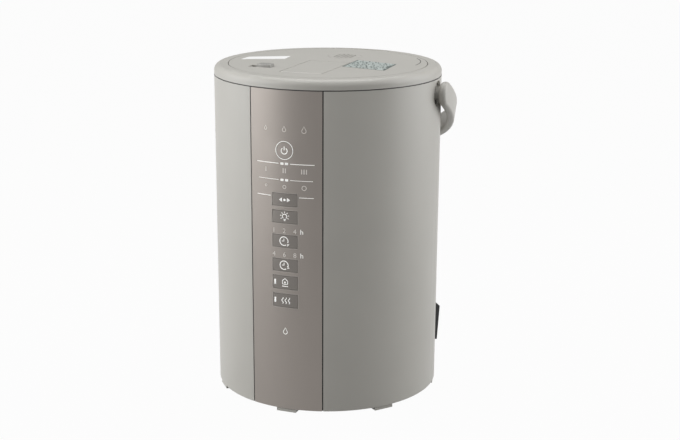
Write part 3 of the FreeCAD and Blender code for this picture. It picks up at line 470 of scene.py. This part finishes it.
@dataclass
class Drawing:
    """Flat marks in millimetres, kept as small filled outlines."""

    span_mm: float = 2.0
    arc_step_deg: float = 10.0
    least_arc_steps: int = 6
    ring_steps: int = 40
    disc_steps: int = 20
    figure_scale: float = 1.4
    figure_steps: int = 3
    faces: list[Loop] = field(default_factory=list)

    def dense(self, points: Loop, closed: bool) -> Loop:
        """Add points to long straight runs, so that a mark follows the curved panel.

        Args:
            points: Corners of the line.
            closed: Whether the line returns to its first point.

        Returns:
            The corners with the points between them.
        """
        ends = points[1:] + points[:1] if closed else points[1:]
        result = []
        for (x, z), (next_x, next_z) in zip(points, ends):
            pieces = max(1, math.ceil(abs(next_x - x) / self.span_mm))
            for index in range(pieces):
                share = index / pieces
                result.append((x + (next_x - x) * share, z + (next_z - z) * share))
        return result if closed else result + [points[-1]]

    def stroke(self, points: Loop, width: float, closed: bool = False) -> "Drawing":
        """Draw a line of a width through points.

        Args:
            points: Places that the line goes through.
            width: Width of the line.
            closed: Whether the line returns to its first point.

        Returns:
            The drawing itself.
        """
        points = self.dense(points, closed)
        count = len(points)
        sides: list[tuple[Point, Point]] = []
        for index, (x, z) in enumerate(points):
            before = points[index - 1] if closed or index > 0 else points[index]
            after = points[(index + 1) % count] if closed or index < count - 1 else points[index]
            run = Vector((after[0] - before[0], after[1] - before[1])).normalized()
            sides.append(((x - run.y * width / 2, z + run.x * width / 2),
                          (x + run.y * width / 2, z - run.x * width / 2)))
        last = count if closed else count - 1
        for index in range(last):
            left, right = sides[index]
            next_left, next_right = sides[(index + 1) % count]
            self.faces.append([left, right, next_right, next_left])
        return self

    def arc(self, centre: Point, radius: float, start: float, end: float, width: float) -> "Drawing":
        """Draw an arc.

        Args:
            centre: Middle of its circle.
            radius: Radius of its middle line.
            start: First angle in degrees, anticlockwise from the right.
            end: Last angle in degrees.
            width: Width of the line.

        Returns:
            The drawing itself.
        """
        steps = max(self.least_arc_steps, int(abs(end - start) / self.arc_step_deg))
        points = []
        for index in range(steps + 1):
            turn = math.radians(start + (end - start) * index / steps)
            points.append((centre[0] + radius * math.cos(turn), centre[1] + radius * math.sin(turn)))
        return self.stroke(points, width)

    def ring(self, centre: Point, radius: float, width: float) -> "Drawing":
        """Draw a full circle as a line."""
        return self.stroke(circle(centre, radius, self.ring_steps), width, closed=True)

    def fill(self, outline: Loop) -> "Drawing":
        """Fill a convex outline."""
        self.faces.append(outline)
        return self

    def bar(self, centre: Point, width: float, height: float) -> "Drawing":
        """Fill an upright rectangle.

        Args:
            centre: Its middle.
            width: Size across.
            height: Size upwards.

        Returns:
            The drawing itself.
        """
        x, z = centre
        return self.fill([(x - width / 2, z - height / 2), (x + width / 2, z - height / 2),
                          (x + width / 2, z + height / 2), (x - width / 2, z + height / 2)])

    def disc(self, centre: Point, radius: float) -> "Drawing":
        """Fill a circle."""
        return self.fill(circle(centre, radius, self.disc_steps))

    def numeral(self, mark: str, centre: Point, height: float) -> "Drawing":
        """Draw a plain figure of a scale with the built-in face.

        Args:
            mark: The figure.
            centre: Its middle.
            height: Height of the figure.

        Returns:
            The drawing itself.
        """
        curve = bpy.data.curves.new("figure", "FONT")
        curve.body = mark
        curve.align_x = "CENTER"
        curve.size = height * self.figure_scale
        curve.resolution_u = self.figure_steps
        holder = bpy.data.objects.new("figure", curve)
        bpy.context.scene.collection.objects.link(holder)
        mesh = bpy.data.meshes.new_from_object(holder)
        for polygon in mesh.polygons:
            corners = [mesh.vertices[i].co for i in polygon.vertices]
            self.faces.append([(centre[0] + c.x, centre[1] - height / 2 + c.y) for c in corners])
        bpy.data.meshes.remove(mesh)
        bpy.data.objects.remove(holder)
        bpy.data.curves.remove(curve)
        return self


@dataclass
class PanelPrint:
    """Printed marks on the curved panel and its keys, and painted highlights round the keys; heights are
    above the standing plane.
    """

    bottom_radius_mm: float = 106.7
    seam_radius_mm: float = 107.5
    foot_mm: float = 3.0
    seam_mm: float = 304.0
    ink_mm: float = 0.08
    weld_mm: float = 0.002
    line_mm: float = 0.6
    thin_line_mm: float = 0.5
    icon_line_mm: float = 0.7
    bold_line_mm: float = 0.8
    key_width_mm: float = 24.0
    key_gap_mm: float = 0.25
    # Width of the painted highlight round each key.
    highlight_line_mm: float = 0.8
    rows: dict[str, Point] = field(default_factory=lambda: {
        "key_select": (204.2, 11.3), "key_light": (188.4, 11.3), "key_off_timer": (165.7, 11.3),
        "key_on_timer": (143.0, 11.3), "key_lock": (126.6, 12.3), "key_saver": (109.3, 12.3)})
    power_mm: float = 249.5
    power_ring_mm: float = 8.2
    columns: tuple[float, float, float] = (-18.5, 0.0, 18.5)
    level_mm: float = 268.8
    level_drops_mm: tuple[float, float, float] = (2.0, 2.6, 3.2)
    mode_mm: float = 231.0
    mode_bar_mm: Point = (1.0, 4.4)
    mode_pitch_mm: float = 2.2
    strength_mm: float = 216.1
    strength_rings_mm: tuple[float, float, float] = (1.0, 1.5, 2.0)
    timers_mm: tuple[float, float] = (175.5, 153.2)
    timer_figures: tuple[str, str] = ("124", "468")
    figure_columns: tuple[float, float, float] = (-10.8, -0.4, 9.7)
    figure_mm: float = 4.6
    hour_x_mm: float = 16.2
    hour_mm: float = 4.8
    # Height, half length and width of the two divided lines.
    divided_lines: tuple[tuple[float, float, float], ...] = ((237.4, 28.0, 0.6), (222.5, 26.5, 0.4))
    divided_gap_mm: float = 5.6
    title_bar_mm: Point = (3.0, 2.0)
    title_bar_x_mm: float = 2.2
    shoulder_mm: float = 207.1
    shoulder_spans: tuple[Point, Point] = ((-28.2, -13.8), (13.8, 27.2))
    water_mm: float = 79.9
    water_drop_mm: float = 3.2
    lamp_bar_x_mm: float = -9.9
    lamp_bar_mm: Point = (1.7, 4.8)

    def on_panel(self, x: float, z: float, lift: float) -> Vector:
        """Wrap a flat place round the tapered body.

        Args:
            x: Distance along the panel from its middle line.
            z: Height.
            lift: Distance above the panel's face.

        Returns:
            The place in metres.
        """
        share = (z - self.foot_mm) / (self.seam_mm - self.foot_mm)
        radius = self.bottom_radius_mm + share * (self.seam_radius_mm - self.bottom_radius_mm)
        return around(radius + lift, x / radius, z)

    def lay(self, name: str, drawing: Drawing, stock: Stock, body: str) -> None:
        """Lay a drawing on the panel as a thin closed film of ink.

        Args:
            name: Name of the piece.
            drawing: Marks to lay down.
            stock: Finish of the ink.
            body: Body that the marks move with.
        """
        mesh = bmesh.new()
        for outline in drawing.faces:
            mesh.faces.new([mesh.verts.new(self.on_panel(x, z, self.ink_mm)) for x, z in outline])
        bmesh.ops.remove_doubles(mesh, verts=mesh.verts, dist=self.weld_mm * MM)
        faces = list(mesh.faces)
        rims = [edge for edge in mesh.edges if edge.is_boundary]
        sunk: dict[bmesh.types.BMVert, bmesh.types.BMVert] = {}
        for vert in list(mesh.verts):
            radius = math.hypot(vert.co.x, vert.co.y)
            inner = (radius - 2 * self.ink_mm * MM) / radius
            sunk[vert] = mesh.verts.new((vert.co.x * inner, vert.co.y * inner, vert.co.z))
        for face in faces:
            mesh.faces.new([sunk[vert] for vert in reversed(face.verts)])
        for edge in rims:
            first, second = edge.verts
            mesh.faces.new([first, second, sunk[second], sunk[first]])
        new_piece(name, mesh, stock, body)

    def drop(self, drawing: Drawing, centre: Point, size: float) -> None:
        """Draw the outline of a water drop.

        Args:
            drawing: Drawing to add it to.
            centre: Its middle.
            size: Height of its tip over the middle.
        """
        steps = 12
        shoulder_deg = 40
        sweep_deg = 260
        belly = size * 0.62
        sink = size * 0.3
        x, z = centre
        outline = [(x, z + size)]
        for index in range(steps + 1):
            turn = math.radians(shoulder_deg - index * sweep_deg / steps)
            outline.append((x + belly * math.cos(turn), z - sink + belly * math.sin(turn)))
        drawing.stroke(outline, self.line_mm, closed=True)

    def lamp_marks(self) -> None:
        """Print the pale marks that lamps shine through, and the timer figures."""
        pale = Drawing()
        for x, size in zip(self.columns, self.level_drops_mm):
            self.drop(pale, (x, self.level_mm), size)
        for count, x in enumerate(self.columns, 1):
            for index in range(count):
                shift = (index - (count - 1) / 2) * self.mode_pitch_mm
                pale.bar((x + shift, self.mode_mm), *self.mode_bar_mm)
        for x, radius in zip(self.columns, self.strength_rings_mm):
            pale.ring((x, self.strength_mm), radius, self.line_mm)
        for z, figures in zip(self.timers_mm, self.timer_figures):
            for figure, x in zip(figures, self.figure_columns):
                pale.numeral(figure, (x, z), self.figure_mm)
        self.lay("panel_lamp_marks", pale, Stock.FAINT_INK, "body")

    def lines(self) -> None:
        """Print the white dividing lines, the ring round the power key and the hour signs."""
        white = Drawing()
        white.ring((0, self.power_mm), self.power_ring_mm, self.line_mm)
        for z, half, width in self.divided_lines:
            white.stroke([(-half, z), (-self.divided_gap_mm, z)], width)
            white.stroke([(self.divided_gap_mm, z), (half, z)], width)
            white.bar((-self.title_bar_x_mm, z), *self.title_bar_mm)
            white.bar((self.title_bar_x_mm, z), *self.title_bar_mm)
        for start, end in self.shoulder_spans:
            white.stroke([(start, self.shoulder_mm), (end, self.shoulder_mm)], self.thin_line_mm)
        for z in self.timers_mm:
            white.numeral("h", (self.hour_x_mm, z), self.hour_mm)
        self.drop(white, (0.0, self.water_mm), self.water_drop_mm)
        self.lay("panel_lines", white, Stock.INK, "body")

    def key_edge_highlights(self) -> None:
        """Print a pale outline round each rectangular key: a painted highlight of the keys' edges."""
        pale = Drawing()
        half = self.key_width_mm / 2 + self.key_gap_mm + self.highlight_line_mm / 2
        for z, height in self.rows.values():
            rise = height / 2 + self.key_gap_mm + self.highlight_line_mm / 2
            outline = [(-half, z - rise), (half, z - rise), (half, z + rise), (-half, z + rise)]
            pale.stroke(outline, self.highlight_line_mm, closed=True)
        self.lay("panel_key_rim_highlights", pale, Stock.KEY_EDGE_HIGHLIGHT, "body")

    def power_icon(self) -> None:
        """Print an open ring with a bar on the round key."""
        z = self.power_mm
        radius = 2.9
        sink = 0.4
        start_deg, end_deg = 125, 415
        bar_low, bar_high = 0.2, 3.6
        sign = Drawing().arc((0, z - sink), radius, start_deg, end_deg, self.bold_line_mm)
        sign.stroke([(0, z + bar_low), (0, z + bar_high)], self.bold_line_mm)
        self.lay("icon_power", sign, Stock.INK, "key_power")

    def select_icon(self) -> None:
        """Print a dot between two arrowheads on the select key."""
        z = self.rows["key_select"][0]
        dot = 1.1
        tip, base, half = 5.4, 2.4, 2.0
        sign = Drawing().disc((0, z), dot)
        for side in (-1, 1):
            sign.fill([(side * tip, z), (side * base, z - half), (side * base, z + half)])
        self.lay("icon_select", sign, Stock.INK, "key_select")

    def light_icon(self) -> None:
        """Print a bulb with rays on the light key."""
        z = self.rows["key_light"][0]
        bulb_z = z + 0.5
        bulb_radius, start_deg, end_deg = 2.1, -50, 230
        ray_count, ray_start_deg, ray_step_deg = 7, -30, 40
        ray_ends = (3.1, 4.5)
        sign = Drawing().arc((0, bulb_z), bulb_radius, start_deg, end_deg, self.icon_line_mm)
        for sink, width, height in ((2.3, 2.3, self.icon_line_mm), (3.4, 1.6, self.line_mm)):
            sign.bar((0, z - sink), width, height)
        for index in range(ray_count):
            turn = math.radians(ray_start_deg + index * ray_step_deg)
            ray = [(reach * math.cos(turn), bulb_z + reach * math.sin(turn)) for reach in ray_ends]
            sign.stroke(ray, self.line_mm)
        self.lay("icon_light", sign, Stock.INK, "key_light")

    def timer_icons(self) -> None:
        """Print a clock on each timer key, with a small hook that points down or up."""
        clock_x, radius, start_deg, end_deg = -0.8, 4.0, -20, 300
        long_hand, short_hand = 2.4, 2.0
        hook_x, hook_tip_x, hook_drop, hook_half, hook_shift = 2.2, 4.2, 2.7, 0.9, 0.9
        for key, way in (("key_off_timer", -1), ("key_on_timer", 1)):
            z = self.rows[key][0]
            sign = Drawing().arc((clock_x, z), radius, start_deg, end_deg, self.bold_line_mm)
            hands = [(clock_x, z + long_hand), (clock_x, z), (clock_x - short_hand, z)]
            sign.stroke(hands, self.icon_line_mm)
            hook_z = z - hook_drop
            hook = [(hook_x, hook_z + hook_half + way * hook_shift), (hook_tip_x, hook_z),
                    (hook_x, hook_z - hook_half + way * hook_shift)]
            sign.stroke(hook, self.icon_line_mm)
            self.lay(key.replace("key_", "icon_"), sign, Stock.INK, key)

    def lock_icon(self) -> None:
        """Print a small house-shaped lock on the lock key, beside its lamp bar."""
        z = self.rows["key_lock"][0]
        half, eaves, peak = 2.5, 1.6, 3.8
        dot, dot_lift = 0.8, 0.2
        rule_drop, rule_length = 3.6, 6.0
        sign = Drawing().bar((self.lamp_bar_x_mm, z), *self.lamp_bar_mm)
        outline = [(-half, z - eaves), (half, z - eaves), (half, z + eaves), (0, z + peak),
                   (-half, z + eaves)]
        sign.stroke(outline, self.icon_line_mm, closed=True)
        sign.disc((0, z + dot_lift), dot).bar((0, z - rule_drop), rule_length, self.icon_line_mm)
        self.lay("icon_lock", sign, Stock.INK, "key_lock")

    def saver_icon(self) -> None:
        """Print three rising waves on the saver key, beside its lamp bar."""
        z = self.rows["key_saver"][0]
        wave_columns = (-2.6, 0.6, 3.8)
        points, rise, swing, turn = 9, 0.75, 0.8, 1.1
        foot = 3.0
        sign = Drawing().bar((self.lamp_bar_x_mm, z), *self.lamp_bar_mm)
        for x in wave_columns:
            wave = [(x + swing * math.sin(step * turn), z - foot + step * rise) for step in range(points)]
            sign.stroke(wave, self.icon_line_mm)
        self.lay("icon_saver", sign, Stock.INK, "key_saver")

    def build(self) -> None:
        """Print everything on the panel; each icon moves with its key."""
        self.lamp_marks()
        self.lines()
        self.key_edge_highlights()
        self.power_icon()
        self.select_icon()
        self.light_icon()
        self.timer_icons()
        self.lock_icon()
        self.saver_icon()


@dataclass
class Bail:
    """Bail handle: one band with a stadium outline, every rim rounded, and a boss at each pivot."""

    pivot_mm: float = 289.7
    setback_mm: float = 6.0
    outer_mm: float = 117.7
    band_mm: float = 7.4
    end_radius_mm: float = 11.3
    straight_mm: float = 4.0
    reach_mm: float = 152.0
    tilt_deg: float = 27.3
    rim_mm: float = 3.0
    boss_inner_mm: float = 104.24
    boss_radius_mm: float = 6.4
    boss_edge_mm: float = 0.5
    curve_steps: int = 120
    cap_steps: int = 20
    rim_steps: int = 6
    boss_steps: int = 40

    def path(self) -> list[tuple[Vector, Vector]]:
        """Middle line of the band from the right pivot to the left one.

        Returns:
            For each place its point and its outward direction, in millimetres.
        """
        half_x = self.outer_mm - self.band_mm / 2
        half_y = self.reach_mm - self.straight_mm - self.band_mm / 2
        places = [(Vector((half_x, 0, 0)), Vector((1, 0, 0)))]
        for step in range(self.curve_steps + 1):
            turn = math.pi * step / self.curve_steps
            spot = Vector((half_x * math.cos(turn), self.straight_mm + half_y * math.sin(turn), 0))
            out = Vector((math.cos(turn) / half_x, math.sin(turn) / half_y, 0)).normalized()
            places.append((spot, out))
        return places + [(Vector((-half_x, 0, 0)), Vector((-1, 0, 0)))]

    def loop(self, mesh: bmesh.types.BMesh, depth: float, radius: float) -> Verts:
        """One closed outline of the band, at a depth through its thickness.

        Args:
            mesh: Mesh to add the vertices to.
            depth: Place through the thickness, outwards from the middle.
            radius: Half height of the outline and radius of its ends.

        Returns:
            Vertices: the lower side, the left end, the upper side and the right end.
        """
        places = self.path()
        low = [spot + out * depth + Vector((0, 0, -radius)) for spot, out in places]
        high = [spot + out * depth + Vector((0, 0, radius)) for spot, out in reversed(places)]
        ends = []
        for side in (-1, 1):
            middle = Vector((side * (self.outer_mm - self.band_mm / 2 + depth), 0, 0))
            turns = [math.pi * step / self.cap_steps for step in range(1, self.cap_steps)]
            cap = [middle + Vector((0, -radius * math.sin(t), side * radius * math.cos(t))) for t in turns]
            ends.append(cap)
        return [mesh.verts.new(spot) for spot in low + ends[0] + high + ends[1]]

    def build(self) -> None:
        """Stack the outlines through the thickness, close both faces and tilt the bail to rest."""
        mesh = bmesh.new()
        half = self.band_mm / 2
        levels = []
        for step in range(self.rim_steps + 1):
            turn = math.pi / 2 * step / self.rim_steps
            levels.append((half - self.rim_mm * (1 - math.sin(turn)), self.rim_mm * (1 - math.cos(turn))))
        rims = [(-depth, inset) for depth, inset in reversed(levels)] + levels
        loops = [self.loop(mesh, depth, self.end_radius_mm - inset) for depth, inset in rims]
        for first, second in zip(loops, loops[1:]):
            join_loops(mesh, first, second)
        for loop in (loops[0], loops[-1]):
            self.face(mesh, loop)
        for side in (-1, 1):
            self.boss(mesh, side)
        turn = Matrix.Rotation(math.radians(-self.tilt_deg), 4, "X")
        lift = Matrix.Translation((0, self.setback_mm, self.pivot_mm))
        bmesh.ops.transform(mesh, matrix=Matrix.Scale(MM, 4) @ lift @ turn, verts=mesh.verts)
        piece = new_piece("bail_handle", mesh, Stock.BODY, "handle")
        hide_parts("handle_bail")

    def face(self, mesh: bmesh.types.BMesh, loop: Verts) -> None:
        """Close one face of the band with quads along it and a fan at each end.

        Args:
            mesh: Mesh that holds the outline.
            loop: Outline of the face, in the order that the loop method gives.
        """
        count = len(self.path())
        ends = self.cap_steps - 1
        low = loop[:count]
        left = loop[count:count + ends]
        high = loop[count + ends:2 * count + ends][::-1]
        right = loop[2 * count + ends:]
        for index in range(count - 1):
            mesh.faces.new([low[index], low[index + 1], high[index + 1], high[index]])
        mesh.faces.new([low[-1]] + left + [high[-1]])
        mesh.faces.new([high[0]] + right + [low[0]])

    def boss(self, mesh: bmesh.types.BMesh, side: int) -> None:
        """Add the round boss between the band and the body's pivot cup.

        Args:
            mesh: Mesh to add it to.
            side: -1 for the left pivot, 1 for the right one.
        """
        outer = self.outer_mm - self.band_mm / 2
        profile = [(self.boss_inner_mm, self.boss_radius_mm - self.boss_edge_mm),
                   (self.boss_inner_mm + self.boss_edge_mm, self.boss_radius_mm),
                   (outer, self.boss_radius_mm)]
        rings = []
        for x, radius in profile:
            places = circle((0.0, 0.0), radius, self.boss_steps)
            rings.append([mesh.verts.new((side * x, y, z)) for y, z in places])
        for first, second in zip(rings, rings[1:]):
            join_loops(mesh, first, second)
        mesh.faces.new(rings[0])
        mesh.faces.new(list(reversed(rings[-1])))


@dataclass
class JointShade:
    """Dark strips of painted shade in the open joints: both sides of the panel and under the top ring."""

    bottom_radius_mm: float = 106.7
    seam_radius_mm: float = 107.5
    foot_mm: float = 4.0
    seam_mm: float = 304.0
    gap_mm: float = 0.5
    panel_edge_deg: float = 18.65
    channel_edge_deg: float = 19.15
    sunk_mm: float = 0.35
    depth_mm: float = 1.6
    slack_mm: float = 0.05
    side_top_gap_mm: float = 0.3
    shadow_proud_mm: float = 0.03
    shadow_root_mm: float = 0.1
    shadow_height_mm: float = 0.45
    ring_steps: int = 160

    def ring(self, name: str, inner: float, outer: float, low: float, high: float) -> None:
        """Lay a flat ring round the body.

        Args:
            name: Name of the piece.
            inner: Inner radius.
            outer: Outer radius.
            low: Height of its underside.
            high: Height of its top.
        """
        mesh = bmesh.new()
        corners = [(inner, low), (outer, low), (outer, high), (inner, high)]
        rings = []
        for index in range(self.ring_steps):
            turn = math.tau * index / self.ring_steps
            rings.append([mesh.verts.new(around(radius, turn, z)) for radius, z in corners])
        for first, second in zip(rings, rings[1:] + rings[:1]):
            join_loops(mesh, first, second)
        new_piece(name, mesh, Stock.JOINT_SHADE, "body")

    def sides(self) -> None:
        """Fill the two upright joints beside the panel with painted shade."""
        mesh = bmesh.new()
        deep = self.sunk_mm + self.depth_mm
        section = [(self.panel_edge_deg, self.sunk_mm), (self.channel_edge_deg, self.sunk_mm),
                   (self.channel_edge_deg, deep), (self.panel_edge_deg, deep)]
        heights = [(self.foot_mm, self.bottom_radius_mm),
                   (self.seam_mm - self.side_top_gap_mm, self.seam_radius_mm)]
        for side in (-1, 1):
            ends = []
            for z, radius in heights:
                places = [around(radius - sunk, math.radians(side * turn), z) for turn, sunk in section]
                ends.append([mesh.verts.new(place) for place in places])
            join_loops(mesh, ends[0], ends[1])
            mesh.faces.new(ends[0])
            mesh.faces.new(list(reversed(ends[1])))
        new_piece("panel_side_painted_shade", mesh, Stock.JOINT_SHADE, "body")

    def build(self) -> None:
        """Make all the strips of painted shade in the joints."""
        outer = self.seam_radius_mm - self.sunk_mm
        top = self.seam_mm + self.gap_mm
        # A dark ring sunk in the gap under the top ring: painted shade.
        self.ring("seam_gap_painted_shade", outer - self.depth_mm, outer, self.seam_mm + self.slack_mm,
                  top - self.slack_mm)
        # A thin dark band just proud of the shell's top edge: painted shadow of the seam.
        self.ring("seam_edge_painted_shadow", self.seam_radius_mm - self.shadow_root_mm, self.seam_radius_mm + self.shadow_proud_mm,
                  self.seam_mm - self.shadow_height_mm, self.seam_mm)
        self.sides()


@dataclass
class LidTop:
    """Small things on the lid: blank labels, the slider's knob and the moulded arc."""

    top_mm: float = 313.5
    film_mm: float = 0.15
    label_corners: tuple[Point, ...] = ((20.9, 24.0), (21.6, -19.5), (66.0, -28.5), (64.0, 12.0))
    sticker_corners: tuple[Point, ...] = ((-84.0, 4.5), (-84.5, -12.5), (-46.5, 5.0), (-48.5, 24.0))
    row_mm: float = 0.06
    row_count: int = 8
    row_share: float = 0.5
    row_seed: int = 5
    # Shares of the label's width: where a row starts, its last bar's limit and its end.
    row_start: float = 0.04
    row_last: float = 0.93
    row_end: float = 0.96
    bar_share: Point = (0.03, 0.16)
    bar_gap_share: Point = (0.015, 0.04)
    arc_start: Point = (82.5, 14.0)
    arc_end: Point = (70.5, 55.5)
    arc_line_mm: float = 0.7
    arc_steps: int = 24
    knob_x_mm: float = -44.0
    knob_y_mm: float = -47.0
    knob_mm: Point = (14.0, 10.0)
    knob_top_mm: float = 316.5
    knob_round_mm: float = 0.8
    ridge_count: int = 4
    ridge_pitch_mm: float = 2.4
    ridge_mm: Point = (0.9, 0.8)
    ridge_inset_mm: float = 2.6
    ridge_rise_mm: float = 0.3
    ridge_round_mm: float = 0.25
    tail_mm: Point = (26.0, 15.2)
    tail_top_mm: float = 310.7
    tail_low_mm: float = 308.7
    tail_round_mm: float = 0.3
    round_steps: int = 3

    def prism(self, mesh: bmesh.types.BMesh, outline: Loop, rise: float) -> None:
        """Add a thin closed film on the lid's top.

        Args:
            mesh: Mesh to add to.
            outline: Plan of the film.
            rise: Height of its upper face over the lid.
        """
        low = [mesh.verts.new(Vector((x, y, self.top_mm - self.film_mm)) * MM) for x, y in outline]
        top = [mesh.verts.new(Vector((x, y, self.top_mm + rise)) * MM) for x, y in outline]
        mesh.faces.new(top)
        mesh.faces.new(list(reversed(low)))
        join_loops(mesh, low, top)

    def plate(self, name: str, outline: Loop, stock: Stock) -> None:
        """Lay one film on the lid as a piece of its own.

        Args:
            name: Name of the piece.
            outline: Its plan.
            stock: Its finish.
        """
        mesh = bmesh.new()
        self.prism(mesh, outline, self.film_mm)
        new_piece(name, mesh, stock, "lid")

    def moulded_arc(self) -> None:
        """Shadow line of the moulded finger edge on the lid's right side."""
        start = math.atan2(self.arc_start[1], self.arc_start[0])
        end = math.atan2(self.arc_end[1], self.arc_end[0])
        low = math.hypot(*self.arc_start)
        high = math.hypot(*self.arc_end)
        half = self.arc_line_mm / 2
        outer: Loop = []
        inner: Loop = []
        for step in range(self.arc_steps + 1):
            share = step / self.arc_steps
            turn = start + (end - start) * share
            radius = low + (high - low) * math.sin(share * math.pi / 2)
            for line, reach in ((outer, radius + half), (inner, radius - half)):
                line.append((reach * math.cos(turn), reach * math.sin(turn)))
        self.plate("lid_moulded_arc", outer + inner[::-1], Stock.GROOVE)

    def block(self, mesh: bmesh.types.BMesh, size: tuple[float, float, float], middle: Vector,
              round_mm: float) -> None:
        """Add a box with rounded edges.

        Args:
            mesh: Mesh to add it to.
            size: Its three sizes.
            middle: Its middle.
            round_mm: Radius of its edges.
        """
        made = bmesh.ops.create_cube(mesh, size=1.0)["verts"]
        scale = Matrix.Diagonal((size[0] * MM, size[1] * MM, size[2] * MM, 1.0))
        bmesh.ops.transform(mesh, matrix=Matrix.Translation(middle * MM) @ scale, verts=made)
        edges = list({edge for vert in made for edge in vert.link_edges})
        bmesh.ops.bevel(mesh, geom=edges, offset=round_mm * MM, segments=self.round_steps, profile=0.5,
                        affect="EDGES")

    def knob(self) -> None:
        """Slider knob with soft edges and grip ridges across it, on its hidden tail."""
        mesh = bmesh.new()
        width, depth = self.knob_mm
        crown = self.knob_top_mm - self.ridge_rise_mm
        height = crown - self.tail_top_mm
        self.block(mesh, (width, depth, height), Vector((self.knob_x_mm, self.knob_y_mm, crown - height / 2)),
                   self.knob_round_mm)
        ridge_width, ridge_height = self.ridge_mm
        ridge_z = self.knob_top_mm - ridge_height / 2
        for index in range(self.ridge_count):
            x = self.knob_x_mm + (index - (self.ridge_count - 1) / 2) * self.ridge_pitch_mm
            self.block(mesh, (ridge_width, depth - self.ridge_inset_mm, ridge_height),
                       Vector((x, self.knob_y_mm, ridge_z)), self.ridge_round_mm)
        thick = self.tail_top_mm - self.tail_low_mm
        self.block(mesh, (self.tail_mm[0], self.tail_mm[1], thick),
                   Vector((self.knob_x_mm, self.knob_y_mm, self.tail_low_mm + thick / 2)), self.tail_round_mm)
        piece = new_piece("lock_knob", mesh, Stock.KNOB, "lock")
        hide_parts("lock_slider")

    def label_rows(self) -> None:
        """Lay broken rows of plain bars on the label, so that it does not look blank from afar."""
        far_left, near_left, near_right, far_right = (Vector((x, y, 0)) for x, y in self.label_corners)
        draw = random.Random(self.row_seed)
        mesh = bmesh.new()
        half = self.row_share / 2 / self.row_count
        for row in range(self.row_count):
            across = (row + 0.5) / self.row_count
            far, near = across - half, across + half
            along = self.row_start
            while along < self.row_last:
                reach = min(along + draw.uniform(*self.bar_share), self.row_end)
                corners = []
                for u, v in ((along, far), (reach, far), (reach, near), (along, near)):
                    left = far_left.lerp(near_left, v)
                    right = far_right.lerp(near_right, v)
                    corners.append(left.lerp(right, u))
                self.prism(mesh, [(corner.x, corner.y) for corner in corners], self.film_mm + self.row_mm)
                along = reach + draw.uniform(*self.bar_gap_share)
        new_piece("lid_label_rows", mesh, Stock.ROWS, "lid")

    def build(self) -> None:
        """Make everything on the lid's top."""
        self.plate("lid_blank_label", list(self.label_corners), Stock.FILM)
        self.label_rows()
        self.plate("lid_blank_sticker", list(self.sticker_corners), Stock.PAPER)
        self.moulded_arc()
        self.knob()


def main() -> None:
    """Build the scene in order."""
    logging.basicConfig(level=logging.INFO)
    studio = Studio()
    studio.place_camera()
    studio.light()
    Casing().dress()
    PanelPrint().build()
    JointShade().build()
    Bail().build()
    LidTop().build()


if __name__ == "__main__":
    main()
